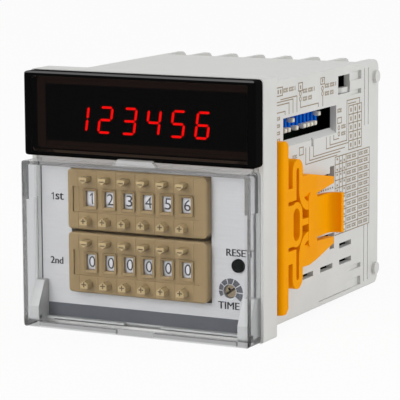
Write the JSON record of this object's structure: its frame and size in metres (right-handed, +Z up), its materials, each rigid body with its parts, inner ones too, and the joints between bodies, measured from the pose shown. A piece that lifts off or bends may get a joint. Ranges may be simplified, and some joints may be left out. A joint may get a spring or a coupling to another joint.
{
  "type": "panel counter",
  "caption": "Square panel counter with a lit digit display, push-wheel switches under a clear hinged cover, side option levers, rear screw terminals and clip-on panel brackets.",
  "frame": {"origin": "centre of the flange's rear face, which seats on the panel", "axes": "+X to the viewer's right, +Y into the panel, +Z up"},
  "size_m": [0.079, 0.0932, 0.072],
  "materials": {
    "case_plastic": "satin",
    "bezel_plastic": "satin",
    "face_sheet": "satin",
    "smoked_plastic": "gloss",
    "clear_plastic": "gloss",
    "black_plastic": "satin",
    "red_light": "lit",
    "tan_plastic": "satin",
    "white_plastic": "satin",
    "grey_plastic": "satin",
    "blue_plastic": "gloss",
    "orange_plastic": "satin",
    "board": "satin",
    "steel": "satin",
    "plated_steel": "satin",
    "brass": "satin"
  },
  "bodies": {
    "housing": {"case": "case_plastic", "front_bezel": "bezel_plastic", "front_plate": "face_sheet", "display_window": "smoked_plastic", "led_display": "black_plastic", "led_segments": "red_light", "upper_switches": "tan_plastic", "lower_switches": "tan_plastic", "switch_end_plates": "tan_plastic", "reset_switch": "grey_plastic", "trimmer_body": "blue_plastic", "option_switch": "blue_plastic", "option_levers": "white_plastic", "front_board": "board", "main_board": "board", "power_transformer": "steel", "output_relays": "black_plastic", "terminal_block": "bezel_plastic", "terminal_screws": "plated_steel"},
    "front_cover": {"front_cover": "clear_plastic"},
    "reset_button": {"reset_button": "black_plastic"},
    "time_trimmer": {"time_trimmer": "brass"},
    "right_bracket": {"right_bracket": "orange_plastic"},
    "left_bracket": {"left_bracket": "orange_plastic"},
    "upper_wheel_1": {"upper_wheel_1": "white_plastic"},
    "upper_wheel_2": {"upper_wheel_2": "white_plastic"},
    "upper_wheel_3": {"upper_wheel_3": "white_plastic"},
    "upper_wheel_4": {"upper_wheel_4": "white_plastic"},
    "upper_wheel_5": {"upper_wheel_5": "white_plastic"},
    "upper_wheel_6": {"upper_wheel_6": "white_plastic"},
    "upper_minus_1": {"upper_minus_1": "tan_plastic"},
    "upper_minus_2": {"upper_minus_2": "tan_plastic"},
    "upper_minus_3": {"upper_minus_3": "tan_plastic"},
    "upper_minus_4": {"upper_minus_4": "tan_plastic"},
    "upper_minus_5": {"upper_minus_5": "tan_plastic"},
    "upper_minus_6": {"upper_minus_6": "tan_plastic"},
    "upper_plus_1": {"upper_plus_1": "tan_plastic"},
    "upper_plus_2": {"upper_plus_2": "tan_plastic"},
    "upper_plus_3": {"upper_plus_3": "tan_plastic"},
    "upper_plus_4": {"upper_plus_4": "tan_plastic"},
    "upper_plus_5": {"upper_plus_5": "tan_plastic"},
    "upper_plus_6": {"upper_plus_6": "tan_plastic"},
    "lower_wheel_1": {"lower_wheel_1": "white_plastic"},
    "lower_wheel_2": {"lower_wheel_2": "white_plastic"},
    "lower_wheel_3": {"lower_wheel_3": "white_plastic"},
    "lower_wheel_4": {"lower_wheel_4": "white_plastic"},
    "lower_wheel_5": {"lower_wheel_5": "white_plastic"},
    "lower_wheel_6": {"lower_wheel_6": "white_plastic"},
    "lower_minus_1": {"lower_minus_1": "tan_plastic"},
    "lower_minus_2": {"lower_minus_2": "tan_plastic"},
    "lower_minus_3": {"lower_minus_3": "tan_plastic"},
    "lower_minus_4": {"lower_minus_4": "tan_plastic"},
    "lower_minus_5": {"lower_minus_5": "tan_plastic"},
    "lower_minus_6": {"lower_minus_6": "tan_plastic"},
    "lower_plus_1": {"lower_plus_1": "tan_plastic"},
    "lower_plus_2": {"lower_plus_2": "tan_plastic"},
    "lower_plus_3": {"lower_plus_3": "tan_plastic"},
    "lower_plus_4": {"lower_plus_4": "tan_plastic"},
    "lower_plus_5": {"lower_plus_5": "tan_plastic"},
    "lower_plus_6": {"lower_plus_6": "tan_plastic"}
  },
  "joints": [
    {"name": "cover_hinge", "type": "hinge", "parent": "housing", "child": "front_cover", "pos_m": [0, -0.013, -0.0336], "axis": [1, 0, 0], "range_deg": [0, 90]},
    {"name": "reset_press", "type": "slide", "parent": "housing", "child": "reset_button", "axis": [0, 1, 0], "range_m": [0, 0.0004], "stiffness_N_per_m": 1500, "springref_m": -0.0004},
    {"name": "time_turn", "type": "hinge", "parent": "housing", "child": "time_trimmer", "pos_m": [0.0261, -0.0085, -0.0223], "axis": [0, 1, 0], "range_deg": [-135, 135]},
    {"name": "right_bracket_slide", "type": "slide", "parent": "housing", "child": "right_bracket", "axis": [0, 1, 0], "range_m": [-0.0019, 0.0044]},
    {"name": "left_bracket_slide", "type": "slide", "parent": "housing", "child": "left_bracket", "axis": [0, 1, 0], "range_m": [-0.0019, 0.0044]},
    {"name": "upper_wheel_1_turn", "type": "hinge", "parent": "housing", "child": "upper_wheel_1", "pos_m": [-0.0165, -0.00415, 0.0007], "axis": [1, 0, 0], "continuous": true},
    {"name": "upper_wheel_2_turn", "type": "hinge", "parent": "housing", "child": "upper_wheel_2", "pos_m": [-0.0105, -0.00415, 0.0007], "axis": [1, 0, 0], "continuous": true},
    {"name": "upper_wheel_3_turn", "type": "hinge", "parent": "housing", "child": "upper_wheel_3", "pos_m": [-0.0045, -0.00415, 0.0007], "axis": [1, 0, 0], "continuous": true},
    {"name": "upper_wheel_4_turn", "type": "hinge", "parent": "housing", "child": "upper_wheel_4", "pos_m": [0.0015, -0.00415, 0.0007], "axis": [1, 0, 0], "continuous": true},
    {"name": "upper_wheel_5_turn", "type": "hinge", "parent": "housing", "child": "upper_wheel_5", "pos_m": [0.0075, -0.00415, 0.0007], "axis": [1, 0, 0], "continuous": true},
    {"name": "upper_wheel_6_turn", "type": "hinge", "parent": "housing", "child": "upper_wheel_6", "pos_m": [0.0135, -0.00415, 0.0007], "axis": [1, 0, 0], "continuous": true},
    {"name": "upper_minus_1_press", "type": "slide", "parent": "housing", "child": "upper_minus_1", "axis": [0, 1, 0], "range_m": [0, 0.0012], "stiffness_N_per_m": 600, "springref_m": -0.0005},
    {"name": "upper_minus_2_press", "type": "slide", "parent": "housing", "child": "upper_minus_2", "axis": [0, 1, 0], "range_m": [0, 0.0012], "stiffness_N_per_m": 600, "springref_m": -0.0005},
    {"name": "upper_minus_3_press", "type": "slide", "parent": "housing", "child": "upper_minus_3", "axis": [0, 1, 0], "range_m": [0, 0.0012], "stiffness_N_per_m": 600, "springref_m": -0.0005},
    {"name": "upper_minus_4_press", "type": "slide", "parent": "housing", "child": "upper_minus_4", "axis": [0, 1, 0], "range_m": [0, 0.0012], "stiffness_N_per_m": 600, "springref_m": -0.0005},
    {"name": "upper_minus_5_press", "type": "slide", "parent": "housing", "child": "upper_minus_5", "axis": [0, 1, 0], "range_m": [0, 0.0012], "stiffness_N_per_m": 600, "springref_m": -0.0005},
    {"name": "upper_minus_6_press", "type": "slide", "parent": "housing", "child": "upper_minus_6", "axis": [0, 1, 0], "range_m": [0, 0.0012], "stiffness_N_per_m": 600, "springref_m": -0.0005},
    {"name": "upper_plus_1_press", "type": "slide", "parent": "housing", "child": "upper_plus_1", "axis": [0, 1, 0], "range_m": [0, 0.0012], "stiffness_N_per_m": 600, "springref_m": -0.0005},
    {"name": "upper_plus_2_press", "type": "slide", "parent": "housing", "child": "upper_plus_2", "axis": [0, 1, 0], "range_m": [0, 0.0012], "stiffness_N_per_m": 600, "springref_m": -0.0005},
    {"name": "upper_plus_3_press", "type": "slide", "parent": "housing", "child": "upper_plus_3", "axis": [0, 1, 0], "range_m": [0, 0.0012], "stiffness_N_per_m": 600, "springref_m": -0.0005},
    {"name": "upper_plus_4_press", "type": "slide", "parent": "housing", "child": "upper_plus_4", "axis": [0, 1, 0], "range_m": [0, 0.0012], "stiffness_N_per_m": 600, "springref_m": -0.0005},
    {"name": "upper_plus_5_press", "type": "slide", "parent": "housing", "child": "upper_plus_5", "axis": [0, 1, 0], "range_m": [0, 0.0012], "stiffness_N_per_m": 600, "springref_m": -0.0005},
    {"name": "upper_plus_6_press", "type": "slide", "parent": "housing", "child": "upper_plus_6", "axis": [0, 1, 0], "range_m": [0, 0.0012], "stiffness_N_per_m": 600, "springref_m": -0.0005},
    {"name": "lower_wheel_1_turn", "type": "hinge", "parent": "housing", "child": "lower_wheel_1", "pos_m": [-0.0165, -0.00415, -0.01715], "axis": [1, 0, 0], "continuous": true},
    {"name": "lower_wheel_2_turn", "type": "hinge", "parent": "housing", "child": "lower_wheel_2", "pos_m": [-0.0105, -0.00415, -0.01715], "axis": [1, 0, 0], "continuous": true},
    {"name": "lower_wheel_3_turn", "type": "hinge", "parent": "housing", "child": "lower_wheel_3", "pos_m": [-0.0045, -0.00415, -0.01715], "axis": [1, 0, 0], "continuous": true},
    {"name": "lower_wheel_4_turn", "type": "hinge", "parent": "housing", "child": "lower_wheel_4", "pos_m": [0.0015, -0.00415, -0.01715], "axis": [1, 0, 0], "continuous": true},
    {"name": "lower_wheel_5_turn", "type": "hinge", "parent": "housing", "child": "lower_wheel_5", "pos_m": [0.0075, -0.00415, -0.01715], "axis": [1, 0, 0], "continuous": true},
    {"name": "lower_wheel_6_turn", "type": "hinge", "parent": "housing", "child": "lower_wheel_6", "pos_m": [0.0135, -0.00415, -0.01715], "axis": [1, 0, 0], "continuous": true},
    {"name": "lower_minus_1_press", "type": "slide", "parent": "housing", "child": "lower_minus_1", "axis": [0, 1, 0], "range_m": [0, 0.0012], "stiffness_N_per_m": 600, "springref_m": -0.0005},
    {"name": "lower_minus_2_press", "type": "slide", "parent": "housing", "child": "lower_minus_2", "axis": [0, 1, 0], "range_m": [0, 0.0012], "stiffness_N_per_m": 600, "springref_m": -0.0005},
    {"name": "lower_minus_3_press", "type": "slide", "parent": "housing", "child": "lower_minus_3", "axis": [0, 1, 0], "range_m": [0, 0.0012], "stiffness_N_per_m": 600, "springref_m": -0.0005},
    {"name": "lower_minus_4_press", "type": "slide", "parent": "housing", "child": "lower_minus_4", "axis": [0, 1, 0], "range_m": [0, 0.0012], "stiffness_N_per_m": 600, "springref_m": -0.0005},
    {"name": "lower_minus_5_press", "type": "slide", "parent": "housing", "child": "lower_minus_5", "axis": [0, 1, 0], "range_m": [0, 0.0012], "stiffness_N_per_m": 600, "springref_m": -0.0005},
    {"name": "lower_minus_6_press", "type": "slide", "parent": "housing", "child": "lower_minus_6", "axis": [0, 1, 0], "range_m": [0, 0.0012], "stiffness_N_per_m": 600, "springref_m": -0.0005},
    {"name": "lower_plus_1_press", "type": "slide", "parent": "housing", "child": "lower_plus_1", "axis": [0, 1, 0], "range_m": [0, 0.0012], "stiffness_N_per_m": 600, "springref_m": -0.0005},
    {"name": "lower_plus_2_press", "type": "slide", "parent": "housing", "child": "lower_plus_2", "axis": [0, 1, 0], "range_m": [0, 0.0012], "stiffness_N_per_m": 600, "springref_m": -0.0005},
    {"name": "lower_plus_3_press", "type": "slide", "parent": "housing", "child": "lower_plus_3", "axis": [0, 1, 0], "range_m": [0, 0.0012], "stiffness_N_per_m": 600, "springref_m": -0.0005},
    {"name": "lower_plus_4_press", "type": "slide", "parent": "housing", "child": "lower_plus_4", "axis": [0, 1, 0], "range_m": [0, 0.0012], "stiffness_N_per_m": 600, "springref_m": -0.0005},
    {"name": "lower_plus_5_press", "type": "slide", "parent": "housing", "child": "lower_plus_5", "axis": [0, 1, 0], "range_m": [0, 0.0012], "stiffness_N_per_m": 600, "springref_m": -0.0005},
    {"name": "lower_plus_6_press", "type": "slide", "parent": "housing", "child": "lower_plus_6", "axis": [0, 1, 0], "range_m": [0, 0.0012], "stiffness_N_per_m": 600, "springref_m": -0.0005}
  ]
}
